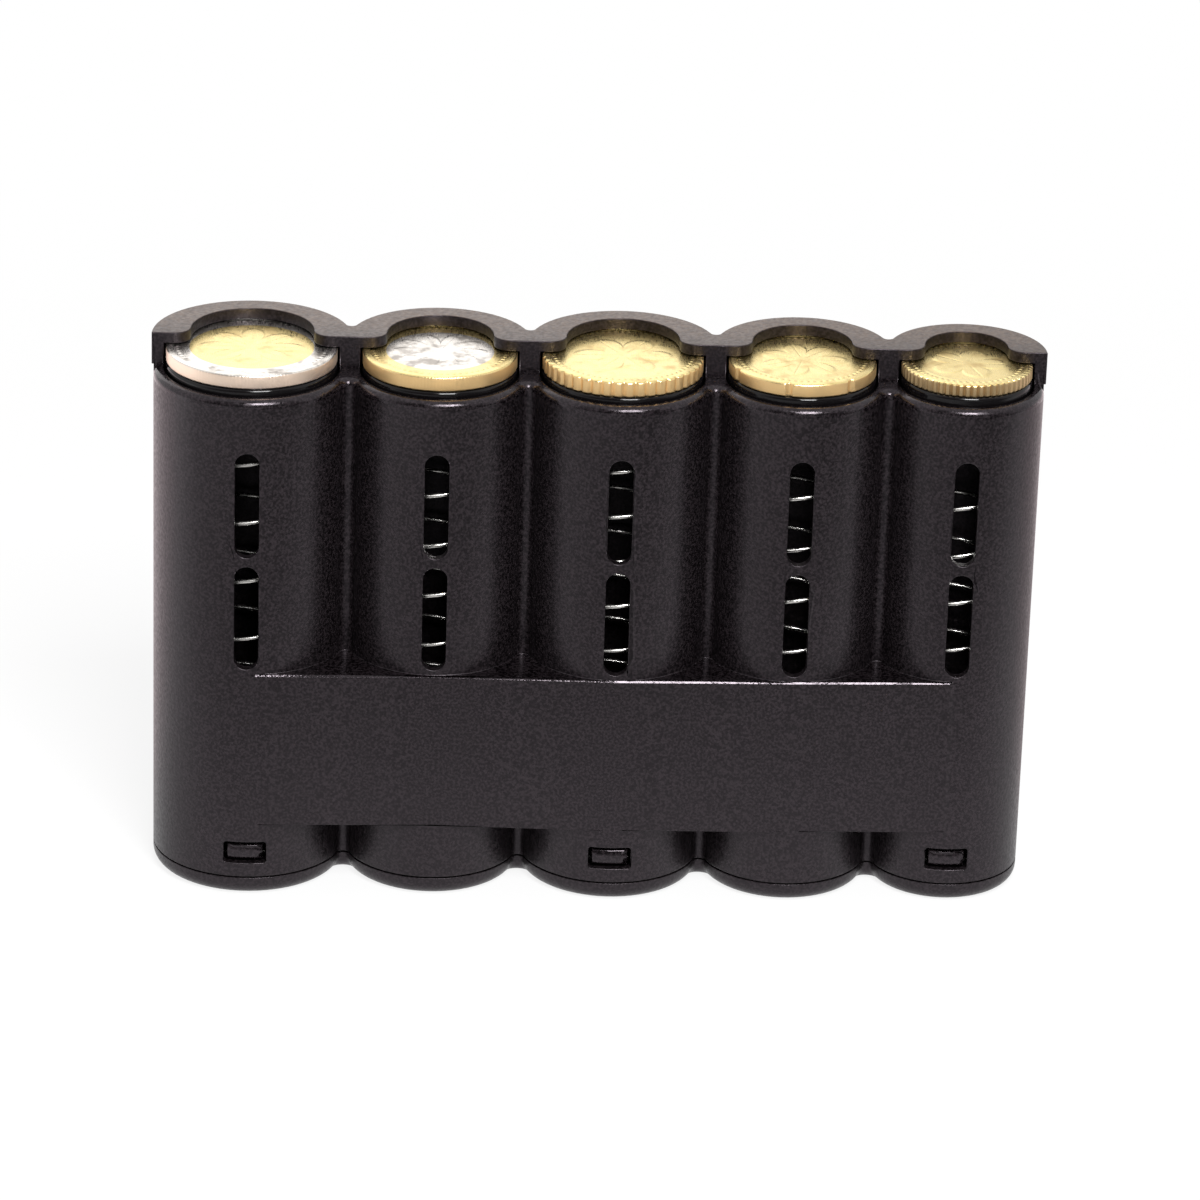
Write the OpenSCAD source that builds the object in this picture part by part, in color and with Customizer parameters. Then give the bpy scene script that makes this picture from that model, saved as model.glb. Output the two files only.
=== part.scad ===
// Coin holder: five spring-loaded tubes in one fluted moulding, each sized for one coin.
// Millimetres, +Z up, front towards -Y, origin in the middle of the base.

/* [Coins] */
// Diameter of the coin in tube 1, at the left
coin_1_d = 25.75; // [24:0.05:28]
// Diameter of the coin in tube 2
coin_2_d = 23.25; // [21:0.05:26]
// Diameter of the coin in tube 3
coin_3_d = 24.25; // [22:0.05:27]
// Diameter of the coin in tube 4
coin_4_d = 22.25; // [20:0.05:25]
// Diameter of the coin in tube 5
coin_5_d = 19.75; // [18:0.05:23]
// Thickness of coin 1
coin_1_t = 2.2; // [1.6:0.05:2.6]
// Thickness of coin 2
coin_2_t = 2.33; // [1.6:0.05:2.6]
// Thickness of coin 3
coin_3_t = 2.38; // [1.6:0.05:2.6]
// Thickness of coin 4
coin_4_t = 2.14; // [1.6:0.05:2.6]
// Thickness of coin 5
coin_5_t = 1.93; // [1.6:0.05:2.6]
// Diameter of the pressed-in core of coin 1
core_1_d = 18.75; // [15:0.05:20]
// Diameter of the pressed-in core of coin 2
core_2_d = 16.25; // [13:0.05:18]
// Width of the raised border of a coin
border_w = 1; // [0.6:0.1:1.6]
// Height of the raised border above the face
border_h = 0.12; // [0.05:0.01:0.3]
// Scallops round the edge of coin 3
coin_3_scallops = 44; // [20:1:60]
// Scallops round the edge of coin 5
coin_5_scallops = 60; // [20:1:70]
// Depth of a scallop
scallop_depth = 0.2; // [0.1:0.05:0.4]
// Notches in the plain edge of coin 4
coin_4_notches = 7; // [3:1:9]
// Radius of a notch
notch_r = 0.8; // [0.4:0.1:1.2]

/* [Housing] */
// Height of the whole holder
body_h = 86.3; // [80:0.1:110]
// Wall of a tube
wall_t = 1.55; // [1.2:0.05:2.4]
// Gap round a coin in its tube
coin_gap = 0.35; // [0.2:0.05:0.6]
// Radius of the valleys between the tubes
valley_r = 1.1; // [0.9:0.1:2.5]
// Thickness of the top plate that holds the coins in
plate_t = 1.75; // [1.2:0.05:2.5]
// Depth of the front rims, and of the hood behind them, below the top
front_drop = 5.1; // [4.8:0.1:7]
// How far the hood stands out from the tubes below it
hood_step = 0.3; // [0.1:0.05:0.6]
// Rounding of the outer edge of the front rims
rim_round = 1.2; // [0.4:0.1:1.2]
// Space left over a coin below the top plate
coin_headroom = 0.1; // [0.05:0.05:0.3]

/* [Thumb cut-outs] */
// How much smaller the radius of a cut-out is than that of its coin
cutout_inset = 3.6; // [3:0.1:5]
// Distance of the cut-out's centre behind the plate's front edge
cutout_back = 2.3; // [1.5:0.1:3]
// Rounding of the corners at the plate's front edge
cutout_corner = 2.5; // [1:0.1:3]

/* [Slots] */
// Width of a slot
slot_w = 3.65; // [2.5:0.05:5]
// Length of a slot
slot_h = 16.7; // [12:0.1:17.4]
// Height of the lower slots' ends
slot_z = 37.8; // [37.4:0.1:40]
// Bridge between the lower and the upper slot
slot_bridge = 1.5; // [1:0.1:2]

/* [Front band] */
// Height of the band's lower edge
band_z = 12; // [10:0.1:16]
// Height of the band
band_h = 25; // [15:0.1:25.2]

/* [Base cap] */
// Thickness of the base plate
base_t = 3; // [2.6:0.1:4]
// Rounding of the base plate's lower edge
base_round = 2.3; // [1:0.1:2.5]
// Height of the shadow gap between base and housing
seam_h = 0.2; // [0.1:0.05:0.4]
// Depth of the shadow gap
seam_d = 0.8; // [0.4:0.1:1]
// Height of the round plugs inside the tubes
plug_h = 1.4; // [1:0.1:2]
// Gap round a plug in its tube
plug_gap = 0.1; // [0.05:0.05:0.15]
// Height of the spigots that keep the springs straight and stop the followers
spigot_h = 9.4; // [2:0.1:9.6]
// Rounding of a spigot's top edge
spigot_round = 1; // [0.2:0.1:1.5]
// Gap between a spigot and its spring
spigot_gap = 0.4; // [0.2:0.1:0.6]

/* [Latches] */
// Width of a latch window
window_w = 6.5; // [5:0.1:8]
// Height of a latch window
window_h = 3.5; // [3:0.1:4.5]
// Height of the windows' lower edges
window_z = 5.5; // [5.2:0.1:6.5]
// Rounding of the windows' corners
window_r = 0.5; // [0.2:0.1:1]
// Gap round a latch hook in its window
hook_gap = 0.5; // [0.3:0.1:0.8]
// Thickness of the tongue that carries a hook
tongue_t = 1; // [0.7:0.1:1]
// Depth of the hook's crown behind the wall's outer face
hook_depth = 0.3; // [0.2:0.1:0.6]

/* [Followers] */
// Height of a follower
follower_h = 5.5; // [4:0.1:9]
// Gap between a follower and its tube
follower_gap = 0.3; // [0.2:0.05:0.4]
// Thickness of a follower's disc
disc_t = 1.5; // [1:0.1:2]
// Thickness of a follower's skirt
skirt_t = 0.8; // [0.6:0.1:1]
// Rounding of a follower's top edge
disc_round = 0.6; // [0.4:0.1:1.2]

/* [Springs] */
// Diameter of the wire
wire_d = 0.7; // [0.5:0.05:0.8]
// Gap between a spring and the skirt of its follower
spring_gap = 0.3; // [0.2:0.05:0.5]
// Rise of the first and of the last turn, which lie close
end_pitch = 1.2; // [1.2:0.05:1.6]
// Open turns of spring 1
spring_1_turns = 7.75; // [6:0.25:9]
// Open turns of spring 2
spring_2_turns = 9; // [7:0.25:11]
// Open turns of spring 3
spring_3_turns = 10; // [8:0.25:12]
// Open turns of spring 4
spring_4_turns = 8.75; // [7:0.25:11]
// Open turns of spring 5
spring_5_turns = 9.5; // [7:0.25:12]

/* [Hidden] */
$fn = 64;
EPS = 0.01;
// A valley is cut this far past the faces of its tubes, so that the faces cross and don't just touch
CUT_PAST = 0.02;
// How far a cutter reaches past the face that it cuts
PAST = 1;
COIN_D = [coin_1_d, coin_2_d, coin_3_d, coin_4_d, coin_5_d];
COIN_T = [coin_1_t, coin_2_t, coin_3_t, coin_4_t, coin_5_t];
SPRING_TURNS = [spring_1_turns, spring_2_turns, spring_3_turns, spring_4_turns, spring_5_turns];
// Direction in which each spring's wire starts, seen from above
SPRING_START = [0, 175, 10, 225, 85];
TUBES = [0 : len(COIN_D) - 1];
PAIRS = [0 : len(COIN_D) - 2];
LATCHED = [0, 2, 4];
FRONT = -1;
BACK = 1;
FAR = 200;

foot_z = base_t + seam_h;
plate_z = body_h - plate_t;
rim_z = body_h - front_drop;
coin_top_z = plate_z - coin_headroom;
plug_top_z = foot_z + plug_h;
slot_2_z = slot_z + slot_h + slot_bridge;
hook_top_z = window_z + window_h - hook_gap;
wire_sides = 6;
rings_per_turn = 8;

// Radius of the coin, the bore and the outside of tube i
function coin_r(i) = COIN_D[i] / 2;
function bore_r(i) = coin_r(i) + coin_gap;
function tube_r(i) = bore_r(i) + wall_t;

// The tubes stand side by side, each touching the next, and the row is centred on the origin.
function width_before(i) = i > 0 ? width_before(i - 1) + 2 * tube_r(i - 1) : 0;
total_w = width_before(len(COIN_D));
function tube_x(i) = width_before(i) + tube_r(i) - total_w / 2;

// Centre of the round valley between tubes i and i + 1, which touches both of them
function valley_along(a, b) = ((a + b) ^ 2 + (a + valley_r) ^ 2 - (b + valley_r) ^ 2) / (2 * (a + b));
function valley_out(a, along) = sqrt((a + valley_r) ^ 2 - along ^ 2);
function valley_at(i, side) =
    let (along = valley_along(tube_r(i), tube_r(i + 1)))
    [tube_x(i) + along, side * valley_out(tube_r(i), along)];

// Direction from both centres to the line that touches tubes i and i + 1 in front
function touch_dir(i) =
    let (slope = (tube_r(i) - tube_r(i + 1)) / (tube_r(i) + tube_r(i + 1)))
    [slope, -sqrt(1 - slope ^ 2)];

function coin_bottom_z(i) = coin_top_z - COIN_T[i];
function follower_r(i) = bore_r(i) - follower_gap;
function spring_r(i) = follower_r(i) - skirt_t - spring_gap - wire_d / 2;
// Clear radius inside spring i, whose turns run straight from ring to ring
function spring_clear_r(i) = spring_r(i) * cos(180 / rings_per_turn) - wire_d / 2;
function spigot_r(i) = spring_clear_r(i) - spigot_gap;
function spring_low_z() = plug_top_z + wire_d / 2 + EPS;
function spring_top_z(i) = coin_bottom_z(i) - disc_t - wire_d / 2 - EPS;

// Half of a round solid's section: a rectangle whose outer corners may be rounded
module round_section(r, z0, z1, low = 0, top = 0) {
    translate([0, z0 + low]) square([r, z1 - z0 - low - top]);
    if (low > 0) {
        translate([0, z0]) square([r - low, low]);
        intersection() {
            translate([r - low, z0 + low]) circle(low);
            translate([r - low, z0]) square(low);
        }
    }
    if (top > 0) {
        translate([0, z1 - top]) square([r - top, top]);
        intersection() {
            translate([r - top, z1 - top]) circle(top);
            translate([r - top, z1 - top]) square(top);
        }
    }
}

// Half of the section of a valley cutter of radius r, which flares where the tubes' edges are rounded
module valley_section(r, z0, z1, low = 0, top = 0) {
    translate([0, z0 - PAST]) square([r, z1 - z0 + 2 * PAST]);
    if (low > 0) difference() {
        translate([0, z0 - PAST]) square([r + low, low + PAST]);
        translate([r + low, z0 + low]) circle(low);
    }
    if (top > 0) difference() {
        translate([0, z1 - top]) square([r + top, top + PAST]);
        translate([r + top, z1 - top]) circle(top);
    }
}

// The fluted outline of the five tubes from z0 to z1, with rounded edges, larger all round by out
module fluted_block(z0, z1, low = 0, top = 0, out = 0) {
    difference() {
        union() {
            for (i = TUBES)
                translate([tube_x(i), 0, 0]) rotate_extrude() round_section(tube_r(i) + out, z0, z1, low, top);
            for (i = PAIRS)
                translate([0, 0, z0]) linear_extrude(z1 - z0)
                    polygon([[tube_x(i), 0], valley_at(i, FRONT), [tube_x(i + 1), 0], valley_at(i, BACK)]);
        }
        for (i = PAIRS, side = [FRONT, BACK])
            translate(concat(valley_at(i, side), 0)) rotate_extrude()
                valley_section(valley_r - out + CUT_PAST, z0, z1, low, top);
    }
}

// Everything in front of, or behind, the plane through the tubes' axes
module half_space(side) {
    translate([-FAR / 2, side > 0 ? 0 : -FAR, -PAST]) cube([FAR, FAR, FAR]);
}

// A flat web in front of each pair of tubes, level with both
module front_band() {
    translate([0, 0, band_z]) linear_extrude(band_h)
        for (i = PAIRS)
            polygon([
                [tube_x(i), 0],
                [tube_x(i), 0] + tube_r(i) * touch_dir(i),
                [tube_x(i + 1), 0] + tube_r(i + 1) * touch_dir(i),
                [tube_x(i + 1), 0]
            ]);
}

// Opening over the coin: a round arch with its two front corners eased
module thumb_cutout(i) {
    r = coin_r(i) - cutout_inset;
    corner_x = sqrt((r + cutout_corner) ^ 2 - (cutout_back - cutout_corner) ^ 2);
    difference() {
        union() {
            translate([0, cutout_back]) circle(r);
            polygon([
                [-corner_x, -PAST], [corner_x, -PAST], [corner_x, cutout_corner],
                [0, cutout_back], [-corner_x, cutout_corner]
            ]);
        }
        for (side = [-1, 1]) translate([side * corner_x, cutout_corner]) circle(cutout_corner);
    }
}

module window_shape() {
    r = window_r;
    translate([r - window_w / 2, 0]) square([window_w - 2 * r, window_h]);
    translate([-window_w / 2, r]) square([window_w, window_h - 2 * r]);
    for (x = [r - window_w / 2, window_w / 2 - r], y = [r, window_h - r]) translate([x, y]) circle(r);
}

module slot_shape() {
    r = slot_w / 2;
    translate([-r, r]) square([slot_w, slot_h - slot_w]);
    for (y = [r, slot_h - r]) translate([0, y]) circle(r);
}

// A cutter in front of tube i, through the wall, from a shape drawn as seen from the front
module through_front(i, z) {
    translate([tube_x(i), 0, z]) rotate([90, 0, 0]) linear_extrude(tube_r(i) + PAST) children();
}

module housing() {
    color("#3a3234")
        difference() {
            union() {
                intersection() {
                    fluted_block(foot_z, rim_z, 0, rim_round);
                    half_space(FRONT);
                }
                intersection() {
                    union() {
                        fluted_block(foot_z, rim_z + PAST);
                        fluted_block(rim_z, body_h, out = hood_step);
                    }
                    half_space(BACK);
                }
                front_band();
            }
            for (i = TUBES) {
                translate([tube_x(i), 0, 0]) cylinder(r = bore_r(i), h = plate_z);
                translate([tube_x(i), 0, plate_z - PAST]) linear_extrude(plate_t + 2 * PAST) thumb_cutout(i);
                for (z = [slot_z, slot_2_z]) through_front(i, z) slot_shape();
            }
            for (i = LATCHED) {
                through_front(i, window_z) window_shape();
                mirror([0, 1, 0]) through_front(i, window_z) window_shape();
            }
        }
}

// A hook on its tongue, which bends inwards as the cap is pushed in and springs out into the window
module latch(i) {
    hook_h = hook_top_z - window_z - hook_gap;
    tongue_r = bore_r(i) - plug_gap;
    crown_r = tube_r(i) - hook_depth;
    intersection() {
        translate([tube_x(i), 0, 0]) rotate_extrude() {
            translate([tongue_r - tongue_t, plug_top_z - EPS])
                square([tongue_t, hook_top_z - plug_top_z + EPS]);
            intersection() {
                translate([crown_r - hook_h, hook_top_z - hook_h / 2]) circle(hook_h);
                translate([tongue_r - tongue_t, hook_top_z - hook_h]) square([tongue_t + wall_t + PAST, hook_h]);
            }
        }
        translate([tube_x(i) - window_w / 2 + hook_gap, -FAR / 2, 0]) cube([window_w - 2 * hook_gap, FAR, FAR]);
    }
}

module base_cap() {
    color("#2c2729") {
        fluted_block(0, base_t, base_round);
        translate([0, 0, base_t - EPS]) linear_extrude(seam_h + EPS) seat_outline();
        for (i = TUBES) translate([tube_x(i), 0, 0]) {
            translate([0, 0, foot_z - EPS]) cylinder(r = bore_r(i) - plug_gap, h = plug_h + EPS);
            rotate_extrude()
                round_section(spigot_r(i), plug_top_z - EPS, plug_top_z + spigot_h, 0, spigot_round);
        }
        for (i = LATCHED) latch(i);
    }
}

// The raised land inside the shadow gap, on which the housing sits
module seat_outline() {
    difference() {
        union() {
            for (i = TUBES) translate([tube_x(i), 0]) circle(tube_r(i) - seam_d);
            for (i = PAIRS)
                polygon([[tube_x(i), 0], valley_at(i, FRONT), [tube_x(i + 1), 0], valley_at(i, BACK)]);
        }
        for (i = PAIRS, side = [FRONT, BACK]) translate(valley_at(i, side)) circle(valley_r + seam_d);
    }
}

// A disc with a skirt that keeps it straight in the tube and takes the end of the spring
module follower(i) {
    z1 = coin_bottom_z(i);
    color("#0d0c0d")
        translate([tube_x(i), 0, 0]) rotate_extrude() difference() {
            round_section(follower_r(i), z1 - follower_h, z1, 0, disc_round);
            translate([-PAST, z1 - follower_h - PAST])
                square([follower_r(i) - skirt_t + PAST, follower_h - disc_t + PAST]);
        }
}

// Height of the wire's middle after u turns of a spring whose ends lie close
function rise(u, turns, pitch) =
    u < 1 ? end_pitch * u
    : u < turns + 1 ? end_pitch + pitch * (u - 1)
    : end_pitch + pitch * turns + end_pitch * (u - turns - 1);

function spring_pitch(i) = (spring_top_z(i) - spring_low_z() - 2 * end_pitch) / SPRING_TURNS[i];

// Middle of the wire after u turns, about the tube's axis
function wire_at(i, u) =
    [
        spring_r(i) * cos(SPRING_START[i] + 360 * u),
        spring_r(i) * sin(SPRING_START[i] + 360 * u),
        spring_low_z() + rise(u, SPRING_TURNS[i], spring_pitch(i))
    ];

// Direction along the wire, level, after u turns
function along_at(i, u) = [-sin(SPRING_START[i] + 360 * u), cos(SPRING_START[i] + 360 * u), 0];

// Middle line of the wire, with a straight piece one wire long at each end
function wire_path(i) =
    let (last = SPRING_TURNS[i] + 2)
    concat(
        [wire_at(i, 0) - wire_d * along_at(i, 0)],
        [for (k = [0 : last * rings_per_turn]) wire_at(i, k / rings_per_turn)],
        [wire_at(i, last) + wire_d * along_at(i, last)]
    );

// Corners of the wire's section at point p, square to its level direction and upright
function wire_ring(p, d) =
    [for (k = [0 : wire_sides - 1])
        let (a = 360 * (k + 0.5) / wire_sides)
        p + wire_d / 2 * (cos(a) * [d[1], -d[0], 0] + sin(a) * [0, 0, 1])];

function level_dir(path, k) =
    let (
        a = path[max(k - 1, 0)],
        b = path[min(k + 1, len(path) - 1)],
        d = [b[0] - a[0], b[1] - a[1]]
    )
    d / norm(d);

module tube_along(path) {
    n = len(path);
    s = wire_sides;
    points = [for (k = [0 : n - 1]) each wire_ring(path[k], level_dir(path, k))];
    sides = [
        for (k = [0 : n - 2], j = [0 : s - 1])
            let (a = k * s + j, b = k * s + (j + 1) % s)
            each [[a, a + s, b], [b, a + s, b + s]]
    ];
    ends = [for (j = [1 : s - 2]) each [[0, j, j + 1], [(n - 1) * s, (n - 1) * s + j + 1, (n - 1) * s + j]]];
    polyhedron(points, concat(sides, ends));
}

// Least distance between points of the wire half a turn to two turns apart, less the wire itself
function least_gap(path) =
    let (last = len(path) - 2)
    min([
        for (a = [1 : last], b = [a + rings_per_turn / 2 : 1 : min(a + 2 * rings_per_turn, last)])
            norm(path[a] - path[b])
    ]) - wire_d;

module spring(i) {
    echo(str("spring_", i + 1, " least gap to itself"), least_gap(wire_path(i)), "pitch", spring_pitch(i));
    color("#b9b7b2") translate([tube_x(i), 0, 0]) tube_along(wire_path(i));
}

// Section of a coin's face from radius r0 to r1, with the raised border at its rim
module coin_section(i, r0, r1) {
    z0 = coin_bottom_z(i);
    translate([r0, z0 + border_h]) square([r1 - r0, COIN_T[i] - 2 * border_h]);
    if (r1 > coin_r(i) - border_w)
        translate([coin_r(i) - border_w, z0]) square([border_w, COIN_T[i]]);
}

module coin_disc(i, r0, r1) {
    translate([tube_x(i), 0, 0]) rotate_extrude() coin_section(i, r0, r1);
}

// Upright round cutters spaced evenly round the edge of coin i
module edge_cutters(i, count, r, depth) {
    for (k = [0 : count - 1])
        translate([tube_x(i), 0, coin_bottom_z(i) - PAST]) rotate(360 * k / count)
            translate([coin_r(i) + r - depth, 0]) cylinder(r = r, h = COIN_T[i] + 2 * PAST, $fn = 24);
}

module coin_ring(i, core_d) { coin_disc(i, core_d / 2, coin_r(i)); }

module coin_core(i, core_d) { coin_disc(i, 0, core_d / 2); }

module scalloped_coin(i, count) {
    difference() {
        coin_disc(i, 0, coin_r(i));
        edge_cutters(i, count, PI * coin_r(i) / count * 0.7, scallop_depth);
    }
}

module notched_coin(i, count) {
    difference() {
        coin_disc(i, 0, coin_r(i));
        edge_cutters(i, count, notch_r, notch_r / 2);
    }
}

module coin_1_ring() { color("#c9c8c4") coin_ring(0, core_1_d); }
module coin_1_core() { color("#d9b95b") coin_core(0, core_1_d); }
module coin_2_ring() { color("#d9b95b") coin_ring(1, core_2_d); }
module coin_2_core() { color("#c9c8c4") coin_core(1, core_2_d); }
module coin_3() { color("#d9b04a") scalloped_coin(2, coin_3_scallops); }
module coin_4() { color("#d9b04a") notched_coin(3, coin_4_notches); }
module coin_5() { color("#d9b04a") scalloped_coin(4, coin_5_scallops); }

housing();
base_cap();
follower(0);  // follower_1
follower(1);  // follower_2
follower(2);  // follower_3
follower(3);  // follower_4
follower(4);  // follower_5
spring(0);  // spring_1
spring(1);  // spring_2
spring(2);  // spring_3
spring(3);  // spring_4
spring(4);  // spring_5
coin_1_ring();
coin_1_core();
coin_2_ring();
coin_2_core();
coin_3();
coin_4();
coin_5();
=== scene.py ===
"""Looks of the coin holder: five sprung coin tubes in one fluted moulding of fine-grained black plastic.

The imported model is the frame. The plastic pieces are its own shapes with their edges eased, and the coins
and the springs are modelled here, inside the space that the frame gives them. All lengths are in metres.
"""

import logging
import math
from abc import ABC, abstractmethod
from dataclasses import dataclass, field
from enum import Enum
from typing import Any, Iterable

import bmesh
import bpy
from mathutils import Matrix, Vector


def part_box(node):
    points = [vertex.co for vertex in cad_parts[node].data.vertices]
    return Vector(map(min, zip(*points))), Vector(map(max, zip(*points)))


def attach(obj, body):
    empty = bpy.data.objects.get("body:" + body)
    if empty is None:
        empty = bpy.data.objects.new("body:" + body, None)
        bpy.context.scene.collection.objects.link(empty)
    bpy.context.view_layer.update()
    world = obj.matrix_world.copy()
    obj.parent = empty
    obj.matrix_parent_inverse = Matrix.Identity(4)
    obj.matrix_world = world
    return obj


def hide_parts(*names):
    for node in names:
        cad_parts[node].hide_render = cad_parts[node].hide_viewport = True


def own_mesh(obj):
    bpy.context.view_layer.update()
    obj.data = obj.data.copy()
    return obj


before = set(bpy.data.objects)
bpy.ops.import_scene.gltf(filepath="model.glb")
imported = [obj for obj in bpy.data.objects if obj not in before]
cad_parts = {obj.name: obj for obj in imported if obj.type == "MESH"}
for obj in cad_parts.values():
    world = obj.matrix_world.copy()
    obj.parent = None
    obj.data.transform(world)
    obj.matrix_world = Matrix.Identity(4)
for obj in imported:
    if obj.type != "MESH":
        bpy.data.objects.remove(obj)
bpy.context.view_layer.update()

LOG = logging.getLogger("coin_holder")

Axes = tuple[float, float, float]
Colour = tuple[float, float, float]
Span = tuple[float, float]
Socket = bpy.types.NodeSocket

MM = 0.001
# Points that are closer than this count as one
SAME_PLACE = 0.001 * MM
EVEN: Axes = (1.0, 1.0, 1.0)
WHITE: Colour = (1.0, 1.0, 1.0)
WHOLE: Span = (0.0, 1.0)
# Most of a noise's values lie in this span
COMMON: Span = (0.3, 0.7)


def middle_x(node: str) -> float:
    """Gives how far to the right of the holder's middle a node's own middle lies."""
    low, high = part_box(node)
    return (low.x + high.x) / 2


def half_width(node: str) -> float:
    """Gives half the width of a node, which is the radius of a round one."""
    low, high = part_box(node)
    return (high.x - low.x) / 2


def shade(colour: Colour, factor: float) -> Colour:
    """Gives a colour made darker or lighter by a factor."""
    return tuple(factor * channel for channel in colour)


@dataclass(frozen=True)
class ViewPoint:
    """The place that the photograph was taken from, as a lens, a target and three turns about it."""

    image_px: float = 1200.0
    focal_px: float = 5951.75
    sensor_mm: float = 36.0
    nearest: float = 0.01
    farthest: float = 100.0
    distance: float = 0.91097
    yaw: float = math.radians(1.299)
    pitch: float = math.radians(22.731)
    roll: float = math.radians(1.794)
    target: Axes = (0.001144, 0.0, 0.044353)

    def build(self) -> bpy.types.Object:
        """Makes the camera and sets it as the scene's.

        Returns:
            The camera's object.
        """
        ahead = Vector((
            math.sin(self.yaw) * math.cos(self.pitch),
            math.cos(self.yaw) * math.cos(self.pitch),
            -math.sin(self.pitch),
        ))
        level = Vector((math.cos(self.yaw), -math.sin(self.yaw), 0.0))
        upright = level.cross(ahead)
        right = level * math.cos(self.roll) + upright * math.sin(self.roll)
        above = upright * math.cos(self.roll) - level * math.sin(self.roll)
        data = bpy.data.cameras.new("viewpoint")
        data.sensor_width = self.sensor_mm
        data.lens = self.focal_px / self.image_px * self.sensor_mm
        data.clip_start = self.nearest
        data.clip_end = self.farthest
        camera = bpy.data.objects.new("viewpoint", data)
        turn = Matrix((right, above, -ahead)).transposed().to_4x4()
        camera.matrix_world = Matrix.Translation(Vector(self.target) - ahead * self.distance) @ turn
        bpy.context.scene.collection.objects.link(camera)
        bpy.context.scene.camera = camera
        return camera


class Nodes:
    """A node tree with short calls that add and link its nodes."""

    def __init__(self, owner: bpy.types.Material | bpy.types.World) -> None:
        """Empties the owner's node tree.

        Args:
            owner: The material or world that the tree belongs to.
        """
        owner.use_nodes = True
        self.tree = owner.node_tree
        self.tree.nodes.clear()

    def add(self, kind: str, inputs: dict[Any, Any] | None = None, **settings: Any) -> bpy.types.Node:
        """Adds a node.

        Args:
            kind: Blender's name for the node's type, without its ShaderNode start.
            inputs: Values or output sockets by the name or the number of the input they go to.
            settings: Attributes of the node.

        Returns:
            The new node.
        """
        node = self.tree.nodes.new("ShaderNode" + kind)
        for name, value in settings.items():
            setattr(node, name, value)
        for name, value in (inputs or {}).items():
            self.feed(node.inputs[name], value)
        return node

    def feed(self, socket: Socket, value: Any) -> None:
        """Links an output socket to an input, or sets the input to a plain value.

        Args:
            socket: The input.
            value: An output socket, a number, a vector or a colour.
        """
        if isinstance(value, Socket):
            self.tree.links.new(value, socket)
        elif socket.type == "RGBA":
            socket.default_value = (*value, 1.0)
        else:
            socket.default_value = value

    def place(self, stretch: Axes = EVEN) -> Socket:
        """Gives object coordinates, drawn together along each axis by a factor.

        Args:
            stretch: The factor along each axis.

        Returns:
            The vector's socket.
        """
        point = self.add("TexCoord").outputs["Object"]
        return self.add("Mapping", {"Vector": point, "Scale": stretch}).outputs["Vector"]

    def noise(self, size: float, detail: float, stretch: Axes = EVEN) -> Socket:
        """Gives a noise between 0 and 1.

        Args:
            size: The size of its spots.
            detail: How many finer layers it has.
            stretch: How much smaller the spots are along each axis.

        Returns:
            The socket of the noise's value.
        """
        node = self.add("TexNoise", {"Vector": self.place(stretch), "Scale": 1.0 / size, "Detail": detail})
        return node.outputs["Fac"]

    def math(self, operation: str, a: Any, b: Any = 0.0) -> Socket:
        """Works out a sum.

        Args:
            operation: Blender's name for the kind of sum.
            a: The first value or socket.
            b: The second value or socket, where the sum has one.

        Returns:
            The result's socket.
        """
        node = self.add("Math", operation=operation)
        self.feed(node.inputs[0], a)
        self.feed(node.inputs[1], b)
        return node.outputs["Value"]

    def ranged(self, value: Any, start: Span, end: Span = WHOLE) -> Socket:
        """Maps a value from one span to another, smoothly and without going past its ends.

        Args:
            value: The value's socket.
            start: The span that the value comes from.
            end: The span that it goes to.

        Returns:
            The mapped value's socket.
        """
        node = self.add("MapRange", {
            "Value": value, "From Min": start[0], "From Max": start[1], "To Min": end[0], "To Max": end[1],
        }, interpolation_type="SMOOTHSTEP")
        return node.outputs["Result"]

    def between(self, value: Any, low: float, high: float, soft: float) -> Socket:
        """Gives 1 where a value lies between two bounds, falling to 0 over a soft step outside them."""
        above = self.ranged(value, (low - soft, low))
        return self.math("MULTIPLY", above, self.ranged(value, (high, high + soft), (1.0, 0.0)))

    def axes(self, vector: Socket) -> bpy.types.NodeOutputs:
        """Gives the X, Y and Z sockets of a vector."""
        return self.add("SeparateXYZ", {"Vector": vector}).outputs

    def facing_up(self) -> Socket:
        """Gives how far a surface faces up, from -1 to 1."""
        return self.axes(self.add("NewGeometry").outputs["Normal"])["Z"]

    def blend(self, share: Any, low: Any, high: Any) -> Socket:
        """Mixes two colours, by those of a mix node's sockets that are for colours.

        Args:
            share: The second colour's share, as a value or a socket.
            low: The first colour, as a value or a socket.
            high: The second one.

        Returns:
            The mixed colour's socket.
        """
        node = self.add("Mix", {0: share}, data_type="RGBA")
        self.feed(node.inputs[6], low)
        self.feed(node.inputs[7], high)
        return node.outputs[2]

    def bump(self, height: Socket, depth: float, strength: Any, under: Socket | None = None) -> Socket:
        """Gives a normal that a height has tilted.

        Args:
            height: The socket of a height from 0 to 1.
            depth: How deep a height of 1 is.
            strength: How much of the tilt is used, as a value or a socket.
            under: The normal that this one is laid on.

        Returns:
            The normal's socket.
        """
        inputs: dict[str, Any] = {"Height": height, "Distance": depth, "Strength": strength}
        if under is not None:
            inputs["Normal"] = under
        return self.add("Bump", inputs).outputs["Normal"]


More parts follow.
